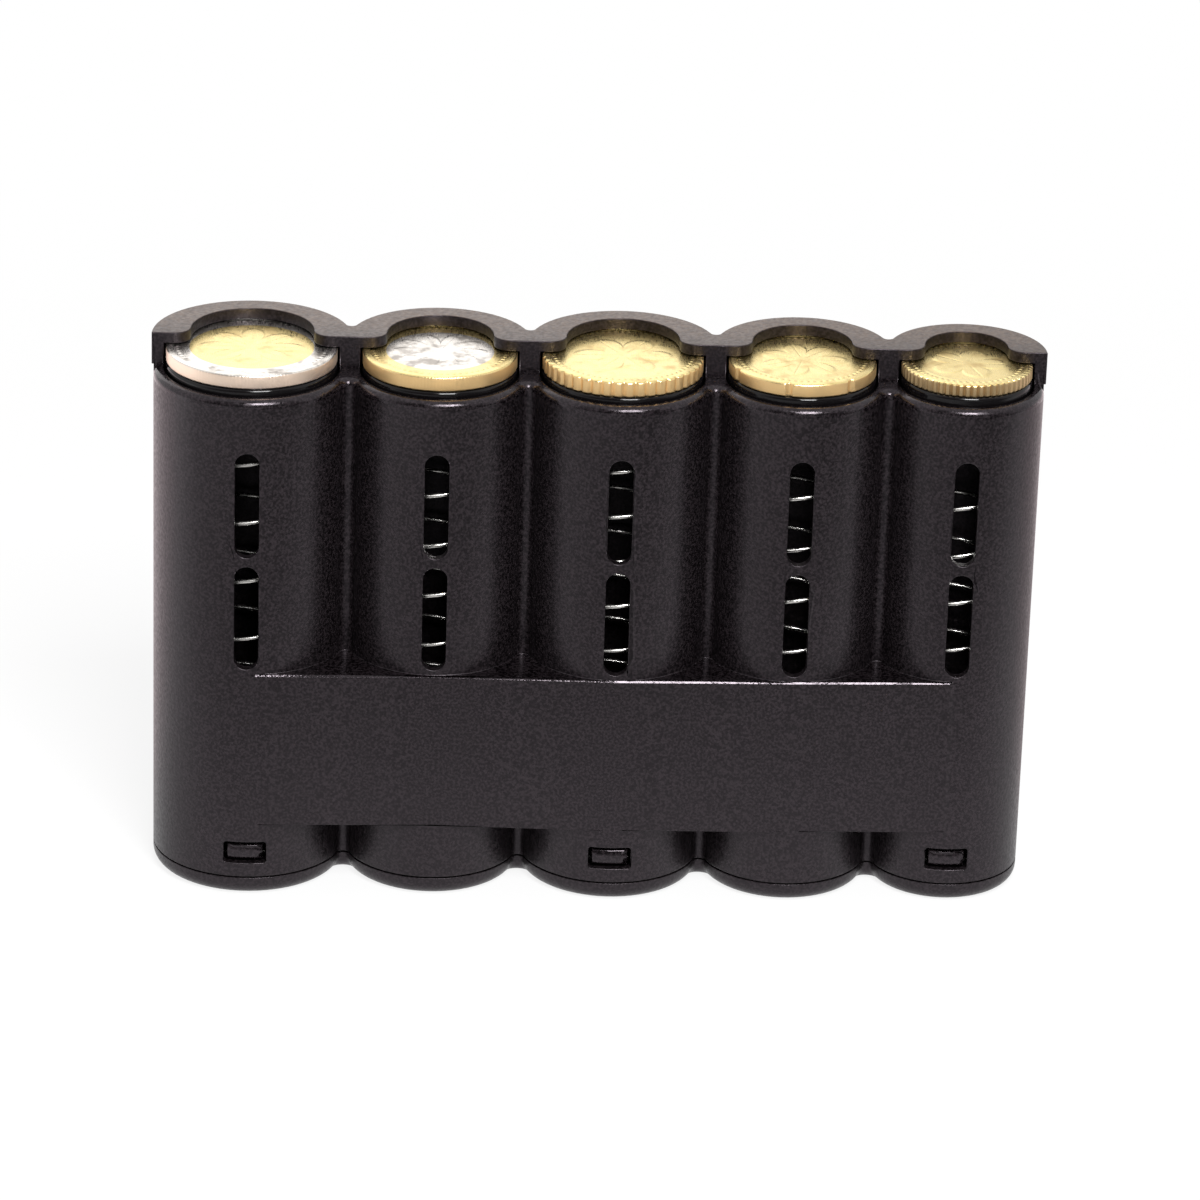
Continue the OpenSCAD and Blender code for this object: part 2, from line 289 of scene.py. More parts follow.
@dataclass(frozen=True)
class HandlingAndSheen:
    """What use has done to the housing: rims and band edge rubbed bright and dust on the top plate, and with
    the dust a painted sheen of the light from behind, lighter towards the back.
    """

    # Top of the front rims, and how far they are rounded
    rim: float
    rim_round: float
    # Height of the band's upper edge, and where it starts and ends across the holder
    edge: float
    edge_ends: Span
    # Height over which dust and a painted sheen lie
    plate: float
    rim_over: float = 0.2 * MM
    rim_soft: float = 0.4 * MM
    # How much smoother a rubbed place is
    polish: float = 0.24
    # Rubbed patches: their size, the noise that they set in over, and how rubbed they are
    patch: float = 0.9 * MM
    patch_stretch: Axes = (0.35, 0.35, 2.5)
    patch_ends: Span = (0.4, 0.6)
    patch_share: Span = (0.45, 1.0)
    scratch: float = 0.25 * MM
    scratch_stretch: Axes = (0.15, 0.15, 4.0)
    scratch_depth: float = 0.05 * MM
    scratch_strength: float = 0.25
    # The worn slope on the band's edge, and the bright part of it
    slope: float = 0.34 * MM
    slope_depth: float = 0.22 * MM
    bright: float = 0.3 * MM
    bright_soft: float = 0.08 * MM
    # How uneven that edge's wear is
    wear: float = 5.0 * MM
    wear_stretch: Axes = (1.0, 0.1, 0.1)
    wear_ends: Span = (0.3, 0.6)
    wear_share: Span = (0.85, 1.0)
    wear_soft: float = 1.0 * MM
    # Colour of real dust and of a painted sheen of the light from behind
    dust_and_sheen: Colour = (0.105, 0.074, 0.053)
    dust_and_sheen_spot: float = 0.7 * MM
    dust_and_sheen_share: Span = (0.45, 1.0)
    # Dust and a painted sheen lie on what faces up this far, and grow from front to back, the sheen standing
    # in for the light from behind
    dust_and_sheen_slope: Span = (0.6, 0.95)
    dust_and_sheen_reach: Span = (-7.0 * MM, 9.0 * MM)

    def on_rim(self, nodes: Nodes) -> Socket:
        """Gives 1 on the rounded front rims, which are rubbed smooth, and 0 elsewhere."""
        height = nodes.axes(nodes.place())["Z"]
        return nodes.between(height, self.rim - self.rim_round, self.rim + self.rim_over, self.rim_soft)

    def rub(self, nodes: Nodes, roughness: Socket, normal: Socket) -> tuple[Socket, Socket]:
        """Polishes and scratches the rims, where coins and fingers rub, and the band's upper edge.

        Args:
            nodes: The material's nodes.
            roughness: The roughness so far.
            normal: The normal so far.

        Returns:
            The new roughness and normal.
        """
        patches = nodes.noise(self.patch, 3.0, self.patch_stretch)
        patches = nodes.ranged(patches, self.patch_ends, self.patch_share)
        rubbed = nodes.math("MULTIPLY", self.on_rim(nodes), patches)
        scratches = nodes.math("MULTIPLY", nodes.noise(self.scratch, 2.0, self.scratch_stretch), rubbed)
        normal = nodes.bump(scratches, self.scratch_depth, self.scratch_strength, normal)
        place = nodes.axes(nodes.place())
        along = nodes.between(place["X"], *self.edge_ends, self.wear_soft)
        ahead = nodes.math("LESS_THAN", place["Y"], 0.0)
        uneven = nodes.noise(self.wear, 2.0, self.wear_stretch)
        uneven = nodes.ranged(uneven, self.wear_ends, self.wear_share)
        worn = nodes.math("MULTIPLY", nodes.math("MULTIPLY", along, ahead), uneven)
        fall = nodes.add("MapRange", {
            "Value": place["Z"], "From Min": self.edge - self.slope, "From Max": self.edge,
            "To Min": 1.0, "To Max": 0.0,
        }).outputs["Result"]
        normal = nodes.bump(nodes.math("MULTIPLY", fall, worn), self.slope_depth, 1.0, normal)
        shining = nodes.between(place["Z"], self.edge - self.bright, self.edge, self.bright_soft)
        rubbed = nodes.math("MAXIMUM", rubbed, nodes.math("MULTIPLY", shining, worn))
        return nodes.math("SUBTRACT", roughness, nodes.math("MULTIPLY", rubbed, self.polish)), normal

    def lay_dust_and_sheen(self, nodes: Nodes, colour: Socket) -> Socket:
        """Lays dust and a painted sheen on what faces up at the top, more of both towards the back.

        Args:
            nodes: The material's nodes.
            colour: The colour so far.

        Returns:
            The new colour.
        """
        place = nodes.axes(nodes.place())
        flat = nodes.ranged(nodes.facing_up(), self.dust_and_sheen_slope)
        high = nodes.math("GREATER_THAN", place["Z"], self.plate)
        deep = nodes.ranged(place["Y"], self.dust_and_sheen_reach)
        uneven = nodes.ranged(nodes.noise(self.dust_and_sheen_spot, 4.0), COMMON, self.dust_and_sheen_share)
        on_top = nodes.math("MULTIPLY", flat, high)
        share = nodes.math("MULTIPLY", on_top, nodes.math("MULTIPLY", deep, uneven))
        # Painted sheen: the top plate made lighter towards the back, mixed in with the dust
        return nodes.blend(share, colour, self.dust_and_sheen)


@dataclass(frozen=True)
class Material(ABC):
    """A finish with a principled shader, whose inputs each kind of finish works out."""

    name: str

    @abstractmethod
    def inputs(self, nodes: Nodes) -> dict[str, Any]:
        """Gives the shader's inputs by name, each a value or a socket."""

    def build(self) -> bpy.types.Material:
        """Makes the material.

        Returns:
            The new material.
        """
        material = bpy.data.materials.new(self.name)
        nodes = Nodes(material)
        shader = nodes.add("BsdfPrincipled", self.inputs(nodes))
        nodes.add("OutputMaterial", {"Surface": shader.outputs["BSDF"]})
        return material


@dataclass(frozen=True)
class GrainedPlastic(Material):
    """Black plastic from a mould with a fine eroded grain, faintly uneven in colour and in gloss."""

    dark: Colour
    light: Colour
    gloss: Span
    tint: Colour = (1.0, 0.88, 0.97)
    ior: float = 1.44
    flecks: Colour = (0.021, 0.0172, 0.019)
    fleck_share: float = 0.45
    # Dark specks: their size as a share of the grain, their shade, and the noise that they set in over
    speck_size: float = 0.8
    speck_shade: float = 0.2
    speck_ends: Span = (0.38, 0.66)
    grain: float = 0.5 * MM
    grain_depth: float = 0.05 * MM
    grain_strength: float = 0.8
    sink: float = 9.0 * MM
    sink_depth: float = 0.02 * MM
    sink_strength: float = 0.35
    # Heights between which the plastic is polished, and how much smoother it is there
    polished: Span | None = None
    polished_soft: float = 0.1 * MM
    polish: float = 0.2
    polish_strength: float = 0.7
    handling_and_sheen: HandlingAndSheen | None = None
    rim_strength: float = 0.6

    def inputs(self, nodes: Nodes) -> dict[str, Any]:
        """Gives the shader's inputs, with the marks of handling and the painted sheen where there are any.

        Args:
            nodes: The material's nodes.

        Returns:
            The inputs by name.
        """
        sunk = nodes.noise(self.sink, 3.0)
        grain = nodes.noise(self.grain, 2.5)
        roughness = nodes.ranged(grain, COMMON, self.gloss)
        strength: Any = self.grain_strength
        if self.polished is not None:
            smooth = nodes.between(nodes.axes(nodes.place())["Z"], *self.polished, self.polished_soft)
            roughness = nodes.math("SUBTRACT", roughness, nodes.math("MULTIPLY", smooth, self.polish))
            strength = nodes.math("SUBTRACT", strength, nodes.math("MULTIPLY", smooth, self.polish_strength))
        if self.handling_and_sheen is not None:
            on_rim = self.handling_and_sheen.on_rim(nodes)
            strength = nodes.math("SUBTRACT", strength, nodes.math("MULTIPLY", on_rim, self.rim_strength))
        normal = nodes.bump(sunk, self.sink_depth, self.sink_strength)
        normal = nodes.bump(grain, self.grain_depth, strength, normal)
        speck = nodes.ranged(nodes.noise(self.grain * self.speck_size, 1.5), self.speck_ends)
        colour = nodes.blend(nodes.ranged(sunk, COMMON), self.dark, self.light)
        colour = nodes.blend(self.fleck_share, colour, self.flecks)
        colour = nodes.blend(speck, shade(self.dark, self.speck_shade), colour)
        if self.handling_and_sheen is not None:
            roughness, normal = self.handling_and_sheen.rub(nodes, roughness, normal)
            # Dust, with a painted sheen of the light from behind, on the top plate
            colour = self.handling_and_sheen.lay_dust_and_sheen(nodes, colour)
        return {
            "Base Color": colour, "Roughness": roughness, "Normal": normal,
            "IOR": self.ior, "Specular Tint": self.tint,
        }


@dataclass(frozen=True)
class SmoothPlastic(Material):
    """Black plastic from a polished mould, with the odd fine scratch."""

    colour: Colour
    gloss: Span
    ior: float = 1.5
    specular: float = 0.25
    paler: float = 1.5
    scratch: float = 0.3 * MM
    scratch_stretch: Axes = (0.2, 1.0, 1.0)
    scratch_ends: Span = (0.35, 0.7)
    scratch_depth: float = 0.01 * MM
    scratch_strength: float = 0.25
    sink: float = 4.0 * MM
    sink_depth: float = 0.03 * MM
    sink_strength: float = 0.3

    def inputs(self, nodes: Nodes) -> dict[str, Any]:
        """Gives the shader's inputs.

        Args:
            nodes: The material's nodes.

        Returns:
            The inputs by name.
        """
        scratch = nodes.noise(self.scratch, 3.0, self.scratch_stretch)
        sunk = nodes.noise(self.sink, 2.0)
        normal = nodes.bump(sunk, self.sink_depth, self.sink_strength)
        return {
            "Base Color": nodes.blend(sunk, self.colour, shade(self.colour, self.paler)),
            "Roughness": nodes.ranged(scratch, self.scratch_ends, self.gloss),
            "Normal": nodes.bump(scratch, self.scratch_depth, self.scratch_strength, normal),
            "IOR": self.ior,
            "Specular IOR Level": self.specular,
        }


@dataclass(frozen=True)
class MintedMetal(Material):
    """A coin's alloy: bright faces, duller in patches, a painted warmer reflection on the edge, and fine
    marks.
    """

    bright: Colour
    worn: Colour
    # Painted reflection: the upright edge's own lighter, warmer colour stands in for the light it mirrors
    painted_edge_light: Colour
    gloss: Span = (0.22, 0.38)
    # Spots of dull metal, and the noise that they set in over
    spot: float = 2.6 * MM
    spot_ends: Span = (0.48, 0.78)
    spot_depth: float = 0.008 * MM
    hairline: float = 0.12 * MM
    hairline_stretch: Axes = (0.12, 1.0, 1.0)
    crossed: float = 0.15 * MM
    crossed_stretch: Axes = (1.0, 0.1, 1.0)
    mark_depth: float = 0.002 * MM
    mark_ends: Span = (1.1, 1.9)
    bump_strength: float = 0.3
    # How far a surface faces up where the edge's painted colour and its gloss end, and how much rougher the
    # edge is
    edge_ends: Span = (0.2, 0.8)
    rough_ends: Span = (0.1, 0.5)
    edge_rough: float = 0.22
    # A painted shade on the edges of the coins to the right, where less light falls, and the place to the
    # right of which it lies
    painted_edge_shade: Colour = (0.51, 0.37, 0.20)
    painted_shade_from: float = 1.0

    def inputs(self, nodes: Nodes) -> dict[str, Any]:
        """Gives the shader's inputs.

        Args:
            nodes: The material's nodes.

        Returns:
            The inputs by name.
        """
        # Painted light on the upright edge: a lighter reflection, and shade on the coins to the right
        in_painted_shade = nodes.math("GREATER_THAN", nodes.axes(nodes.place())["X"], self.painted_shade_from)
        edge = nodes.blend(in_painted_shade, self.painted_edge_light, self.painted_edge_shade)
        cloud = nodes.noise(self.spot, 4.0)
        hairlines = nodes.noise(self.hairline, 2.0, self.hairline_stretch)
        marks = nodes.math("ADD", hairlines, nodes.noise(self.crossed, 2.0, self.crossed_stretch))
        face = nodes.blend(nodes.ranged(cloud, self.spot_ends), self.bright, self.worn)
        up_or_down = nodes.math("ABSOLUTE", nodes.facing_up())
        roughness = nodes.ranged(nodes.math("ADD", cloud, marks), self.mark_ends, self.gloss)
        edge_rough = nodes.ranged(up_or_down, self.rough_ends, (self.edge_rough, 0.0))
        normal = nodes.bump(cloud, self.spot_depth, self.bump_strength)
        return {
            "Base Color": nodes.blend(nodes.ranged(up_or_down, self.edge_ends), edge, face),
            "Metallic": 1.0,
            "Roughness": nodes.math("ADD", roughness, edge_rough),
            "Normal": nodes.bump(marks, self.mark_depth, self.bump_strength, normal),
        }


@dataclass(frozen=True)
class DrawnWire(Material):
    """Bright spring steel, drawn through a die, with faint dull patches."""

    colour: Colour
    gloss: Span = (0.16, 0.34)
    dull: float = 0.7
    patch: float = 1.5 * MM
    line: float = 0.2 * MM
    line_stretch: Axes = (0.3, 0.3, 3.0)
    line_depth: float = 0.006 * MM
    line_strength: float = 0.4

    def inputs(self, nodes: Nodes) -> dict[str, Any]:
        """Gives the shader's inputs.

        Args:
            nodes: The material's nodes.

        Returns:
            The inputs by name.
        """
        patch = nodes.noise(self.patch, 3.0)
        line = nodes.noise(self.line, 2.0, self.line_stretch)
        return {
            "Base Color": nodes.blend(patch, self.colour, shade(self.colour, self.dull)),
            "Metallic": 1.0,
            "Roughness": nodes.ranged(patch, COMMON, self.gloss),
            "Normal": nodes.bump(line, self.line_depth, self.line_strength),
        }


class Finish(Enum):
    """The finishes of the holder, each with a short name as its value."""

    HOUSING = "housing_plastic"
    BASE = "base_plastic"
    FOLLOWER = "follower_plastic"
    WIRE = "spring_steel"
    GOLD = "gold_metal"
    SILVER = "silver_metal"


@dataclass(frozen=True)
class Workshop:
    """Makes objects from meshes and gives them their finish and their body, and hides the nodes they stand
    for.
    """

    finishes: dict[Finish, bpy.types.Material]
    crease: float = math.radians(32.0)

    def present(self, bm: bmesh.types.BMesh, name: str, finish: Finish, body: str, nodes: Iterable[str]
                ) -> bpy.types.Object:
        """Turns a finished bmesh into a piece of the holder.

        Args:
            bm: The mesh, in the holder's frame. It is freed.
            name: The piece's name.
            finish: What it is made of.
            body: The body that it moves with.
            nodes: The frame's nodes that it stands for.

        Returns:
            The piece's object.
        """
        for face in bm.faces:
            face.smooth = True
        mesh = bpy.data.meshes.new(name)
        bm.to_mesh(mesh)
        bm.free()
        mesh.set_sharp_from_angle(angle=self.crease)
        mesh.materials.append(self.finishes[finish])
        piece = bpy.data.objects.new(name, mesh)
        bpy.context.scene.collection.objects.link(piece)
        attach(piece, body)
        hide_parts(*nodes)
        LOG.info("%s: %d faces, rides on %s", name, len(mesh.polygons), body)
        return piece


@dataclass(frozen=True)
class Zone:
    """A space, open to the front, in which edges are rounded more than elsewhere."""

    middle: float
    half: float
    rear: float
    low: float
    high: float

    def holds(self, point: Vector) -> bool:
        """Tells whether a point lies in the space."""
        aside = abs(point.x - self.middle) < self.half
        return aside and point.y < self.rear and self.low < point.z < self.high


@dataclass(frozen=True)
class Moulding:
    """A plastic piece whose shape is its node's own, with the edges eased as a mould leaves them."""

    node: str
    body: str
    finish: Finish
    # Width of the eased edges, and how many times wider they are in the zones
    ease: float
    rounder: float = 1.0
    zones: tuple[Zone, ...] = ()
    # Heights at which long facets are cut
    rows: tuple[float, ...] = ()
    steps: int = 3
    # Height up to which inner corners are eased too
    corners_to: float = 1.0
    sharp: float = math.radians(38.0)
    flat: float = math.radians(0.6)

    def build(self, workshop: Workshop) -> bpy.types.Object:
        """Merges a copy of the node's triangles, cuts long facets into rows and bevels sharp edges.

        Args:
            workshop: Where the piece gets its finish.

        Returns:
            The piece's object.
        """
        bm = bmesh.new()
        bm.from_mesh(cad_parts[self.node].data)
        bmesh.ops.remove_doubles(bm, verts=bm.verts[:], dist=SAME_PLACE)
        bmesh.ops.dissolve_limit(bm, angle_limit=self.flat, verts=bm.verts[:], edges=bm.edges[:])
        for height in self.rows:
            bmesh.ops.bisect_plane(bm, geom=[*bm.verts, *bm.edges, *bm.faces], dist=SAME_PLACE,
                                   plane_co=(0, 0, height), plane_no=(0, 0, 1))
        self.weigh(bm)
        piece = workshop.present(bm, self.node + "_moulding", self.finish, self.body, [self.node])
        bevel = piece.modifiers.new("eased edges", "BEVEL")
        bevel.width = self.ease * self.rounder
        bevel.segments = self.steps
        bevel.limit_method = "WEIGHT"
        bevel.harden_normals = True
        bevel.use_clamp_overlap = False
        return piece

    def weigh(self, bm: bmesh.types.BMesh) -> None:
        """Gives each sharp edge, and up to some height each sharp corner, its share of the widest rounding.

        Args:
            bm: The piece's mesh.
        """
        weight = bm.edges.layers.float.new("bevel_weight_edge")
        for edge in bm.edges:
            eased = edge.is_manifold and (edge.is_convex or edge.verts[0].co.z < self.corners_to)
            if eased and edge.calc_face_angle() > self.sharp:
                wide = any(all(zone.holds(vert.co) for vert in edge.verts) for zone in self.zones)
                edge[weight] = 1.0 if wide else 1.0 / self.rounder


@dataclass(frozen=True)
class Spring:
    """A compression spring of round wire, with open turns between two close end turns."""

    number: int
    turns: float
    start: float
    wire: float = 0.7 * MM
    end_turns: float = 1.0
    end_pitch: float = 1.2 * MM
    # Thickness of the follower's skirt that the spring stands in, and its room there
    skirt: float = 0.8 * MM
    skirt_gap: float = 0.3 * MM
    sides: int = 12
    steps: int = 40

    def build(self, workshop: Workshop) -> bpy.types.Object:
        """Makes the spring.

        Args:
            workshop: Where the piece gets its finish.

        Returns:
            The piece's object.
        """
        node = f"spring_{self.number}"
        low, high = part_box(node)
        coil = self.coil(low.z + self.wire / 2, high.z - self.wire / 2)
        piece = workshop.present(coil, node + "_wire", Finish.WIRE, "housing", [node])
        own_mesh(piece)
        return piece

    def coil(self, first: float, last: float) -> bmesh.types.BMesh:
        """Spins the wire's section up the tube in three runs.

        Args:
            first: The height of the wire's middle at its lower end.
            last: The same at its upper end.

        Returns:
            The mesh, in its place.
        """
        follower = f"follower_{self.number}"
        radius = half_width(follower) - self.skirt - self.skirt_gap - self.wire / 2
        pitch = (last - first - 2 * self.end_turns * self.end_pitch) / self.turns
        bm = bmesh.new()
        upright = Matrix.Rotation(math.radians(90), 4, "X")
        bmesh.ops.create_circle(bm, cap_ends=True, segments=self.sides, radius=self.wire / 2,
                                matrix=Matrix.Translation((radius, 0, first)) @ upright)
        rim: list[Any] = bm.edges[:]
        end = (self.end_turns, self.end_pitch)
        for count, rise in (end, (self.turns, pitch), end):
            rim = self.wind(bm, rim, count, rise)
        bmesh.ops.contextual_create(bm, geom=rim)
        bmesh.ops.rotate(bm, verts=bm.verts[:], cent=(0, 0, 0), matrix=Matrix.Rotation(self.start, 3, "Z"))
        bmesh.ops.translate(bm, verts=bm.verts[:], vec=(middle_x(follower), 0, 0))
        bmesh.ops.recalc_face_normals(bm, faces=bm.faces[:])
        return bm

    def wind(self, bm: bmesh.types.BMesh, rim: list[Any], count: float, rise: float) -> list[Any]:
        """Winds some turns on from the wire's last section.

        Args:
            bm: The wire's mesh.
            rim: The edges of the last section.
            count: How many turns to wind.
            rise: How far a turn climbs.

        Returns:
            The edges of the new last section.
        """
        steps = round(count * self.steps)
        ends = {vert for edge in rim for vert in edge.verts}
        made = bmesh.ops.spin(bm, geom=[*ends, *rim], cent=(0, 0, 0), axis=(0, 0, 1),
                              dvec=(0, 0, rise * count / steps), angle=math.tau * count, steps=steps)
        return [item for item in made["geom_last"] if isinstance(item, bmesh.types.BMEdge)]


class Edge(Enum):
    """How the edge of a coin is worked."""

    MILLED = "fine upright milling"
    PART_MILLED = "milled and plain by turns"
    SCALLOPED = "wide scallops"
    NOTCHED = "plain with a few notches"


@dataclass
class Coin:
    """A worn coin with a raised border and a plain beaded rosette on both faces."""

    number: int
    edge: Edge
    # Marks round the edge, columns of faces round the coin, and petals of the rosette
    marks: int
    columns: int
    petals: int
    metal: Finish
    core_metal: Finish | None = None
    border: float = 1.0 * MM
    border_rise: float = 0.12 * MM
    border_slope: float = 0.15 * MM
    round_off: float = 0.3 * MM
    round_steps: int = 3
    # Distance from the border's inner edge to what is struck inside it and worked outside it
    margin: float = 0.2 * MM
    relief: float = 0.07 * MM
    # Radius of a bead, and in such radii: how far the beads' circle lies inside the border, how far
    # apart the beads are, how far inside them a line runs, half its width, and where rings are closer
    bead: float = 0.3 * MM
    bead_inset: float = 2.4
    bead_pitch: float = 3.2
    line_inset: float = 2.6
    line_half: float = 0.6
    bead_reach: float = 1.5
    # The rosette and its hub as shares of the coin's radius
    rosette: float = 0.62
    hub: float = 0.1
    # Petals: where they part and how long they are from there as shares of the rosette, how blunt
    # they are, how wide their edges, the relief of the vein, and how much higher they are beside it
    petal_root: float = 0.45
    petal_length: float = 0.55
    petal_blunt: float = 0.6
    petal_soft: float = 0.5 * MM
    vein_relief: float = 0.45
    petal_relief: float = 0.4
    # Widths of the rings of faces by the beads and elsewhere, and of the last one of a core
    close_ring: float = 0.1 * MM
    wide_ring: float = 0.28 * MM
    seam_ring: float = 0.04 * MM
    milling: float = 0.05 * MM
    scallop: float = 0.32 * MM
    scallop_share: float = 0.46
    notch: float = 0.4 * MM
    notch_half: float = 0.75 * MM
    radius: float = field(init=False)
    half: float = field(init=False)
    centre: Vector = field(init=False)

    def __post_init__(self) -> None:
        """Reads the coin's size and place from the frame."""
        low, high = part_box(self.outer_node)
        self.radius = (high.x - low.x) / 2
        self.half = (high.z - low.z) / 2
        self.centre = (low + high) / 2

    @property
    def body(self) -> str:
        """The name of the coin's body."""
        return f"coin_{self.number}"

    @property
    def outer_node(self) -> str:
        """The name of the node that reaches the coin's edge."""
        return self.body if self.core_metal is None else self.body + "_ring"

    @property
    def inside(self) -> float:
        """The radius of the border's inner edge."""
        return self.radius - self.border

    @property
    def bead_ring(self) -> float:
        """The radius of the circle that the beads stand on."""
        return self.inside - self.bead_inset * self.bead

    def build(self, workshop: Workshop) -> list[bpy.types.Object]:
        """Makes the coin, in one piece or as a ring round a core.

        Args:
            workshop: Where the pieces get their finish.

        Returns:
            The objects of its pieces.
        """
        pieces = [(self.outer_node, self.metal, 0.0, self.radius)]
        if self.core_metal is not None:
            core_node = self.body + "_core"
            core = half_width(core_node)
            pieces = [
                (self.outer_node, self.metal, core, self.radius),
                (core_node, self.core_metal, 0.0, core),
            ]
        return [
            workshop.present(self.turn(inner, outer), node + "_struck", metal, self.body, [node])
            for node, metal, inner, outer in pieces
        ]

    def turn(self, inner: float, outer: float) -> bmesh.types.BMesh:
        """Spins the coin's half section between two radii, then strikes its faces and works its edge.

        Args:
            inner: The inner radius, 0 for a disc.
            outer: The outer radius.

        Returns:
            The mesh, in its place.
        """
        top = [(r, self.face_height(r)) for r in self.stations(inner, outer)]
        profile = top + [(r, -z) for r, z in reversed(top)]
        if inner > 0.0:
            profile.append(profile[0])
        bm = bmesh.new()
        points = [bm.verts.new((r, 0.0, z)) for r, z in profile]
        edges = [bm.edges.new(pair) for pair in zip(points, points[1:])]
        bmesh.ops.spin(bm, geom=[*points, *edges], cent=(0, 0, 0), axis=(0, 0, 1), angle=math.tau,
                       steps=self.columns, use_merge=True)
        bmesh.ops.remove_doubles(bm, verts=bm.verts[:], dist=SAME_PLACE)
        bmesh.ops.recalc_face_normals(bm, faces=bm.faces[:])
        for vert in bm.verts:
            self.strike(vert)
        bmesh.ops.translate(bm, verts=bm.verts[:], vec=self.centre)
        return bm

    def stations(self, inner: float, outer: float) -> list[float]:
        """Gives the radii of a face's rings, closer together where the beads and the border lie.

        Args:
            inner: The inner radius.
            outer: The outer radius.

        Returns:
            The radii, from the inner to the outer.
        """
        end = min(outer, self.inside) - self.close_ring
        found = [inner]
        ring = inner
        while ring < end:
            near_beads = abs(ring - self.bead_ring) < self.bead_reach * self.bead
            ring += self.close_ring if near_beads else self.wide_ring
            if ring < end:
                found.append(ring)
        if outer < self.inside:
            return [*found, outer - self.seam_ring, outer]
        turn = math.pi / 2 / self.round_steps
        rounding = [outer - self.round_off * (1 - math.sin(a * turn)) for a in range(self.round_steps + 1)]
        return [*found, self.inside - self.border_slope, self.inside, *rounding]

    def face_height(self, ring: float) -> float:
        """Gives a face's height over the coin's middle, before it is struck.

        Args:
            ring: The distance from the coin's axis.

        Returns:
            The height.
        """
        if ring < self.inside - SAME_PLACE:
            return self.half - self.border_rise
        into = max(0.0, ring - (self.radius - self.round_off))
        return self.half - self.round_off + math.sqrt(max(0.0, self.round_off ** 2 - into ** 2))

    def strike(self, vert: bmesh.types.BMVert) -> None:
        """Raises the beads and the rosette under a vertex of a face, and works the edge under one there.

        Args:
            vert: The vertex, of a coin whose middle is at the origin.
        """
        ring, angle = math.hypot(vert.co.x, vert.co.y), math.atan2(vert.co.y, vert.co.x)
        if ring < self.inside - self.margin:
            vert.co.z += math.copysign(self.relief * self.raised(ring, angle), vert.co.z)
        if ring > self.inside + self.margin:
            share = (ring - self.inside) / self.border
            scale = (ring - share * self.cut(angle)) / ring
            vert.co.x *= scale
            vert.co.y *= scale

    def raised(self, ring: float, angle: float) -> float:
        """Gives the relief of a face at a place, from 0 to 1.

        Args:
            ring: The distance from the coin's axis.
            angle: The direction from it.

        Returns:
            The share of the full relief.
        """
        circle = self.bead_ring
        beads = round(math.tau * circle / (self.bead_pitch * self.bead))
        turn = angle * beads / math.tau
        off = math.hypot(ring - circle, (turn - round(turn)) * math.tau / beads * circle) / self.bead
        bead = math.sqrt(1 - off ** 2) if off < 1 else 0.0
        from_line = abs(ring - (circle - self.line_inset * self.bead))
        line = max(0.0, 1 - from_line / (self.line_half * self.bead))
        half_turn = self.petals * angle / 2
        length = self.petal_length * abs(math.cos(half_turn)) ** self.petal_blunt
        reach = self.rosette * self.radius * (self.petal_root + length)
        petal = min(1.0, max(0.0, (reach - ring) / self.petal_soft))
        off_vein = min(1.0, abs(math.sin(half_turn)) * ring / self.petal_soft)
        hub = 1.0 if ring < self.hub * self.radius else 0.0
        return max(bead, line, petal * (self.vein_relief + self.petal_relief * off_vein), hub)

    def cut(self, angle: float) -> float:
        """Gives how deep the edge is cut.

        Args:
            angle: The direction from the coin's axis.

        Returns:
            The depth.
        """
        turn = angle * self.marks / math.tau
        off = abs(turn - round(turn)) * 2
        if self.edge is Edge.SCALLOPED:
            return self.scallop * max(0.0, 1 - (off / self.scallop_share) ** 2)
        if self.edge is Edge.NOTCHED:
            across = off * math.pi * self.radius / self.marks / self.notch_half
            return self.notch * (0.5 + 0.5 * math.cos(math.pi * across)) if across < 1 else 0.0
        plain = self.edge is Edge.PART_MILLED and math.sin(3 * angle) < 0
        return 0.0 if plain else self.milling * off


@dataclass(frozen=True)
class Lamp:
    """A square soft lamp, aimed at the holder's middle."""

    name: str
    azimuth: float
    elevation: float
    distance: float
    size: float
    power: float
    colour: Colour = WHITE
    aim: Axes = (0.0, 0.0, 0.045)

    def build(self) -> None:
        """Makes the lamp, which the camera itself doesn't see."""
        azimuth, elevation = math.radians(self.azimuth), math.radians(self.elevation)
        back = Vector((
            math.sin(azimuth) * math.cos(elevation),
            -math.cos(azimuth) * math.cos(elevation),
            math.sin(elevation),
        ))
        data = bpy.data.lights.new(self.name, "AREA")
        data.size = self.size
        data.energy = self.power
        data.color = self.colour
        lamp = bpy.data.objects.new(self.name, data)
        lamp.location = Vector(self.aim) + back * self.distance
        lamp.rotation_euler = (-back).to_track_quat("-Z", "Y").to_euler()
        lamp.visible_camera = False
        bpy.context.scene.collection.objects.link(lamp)


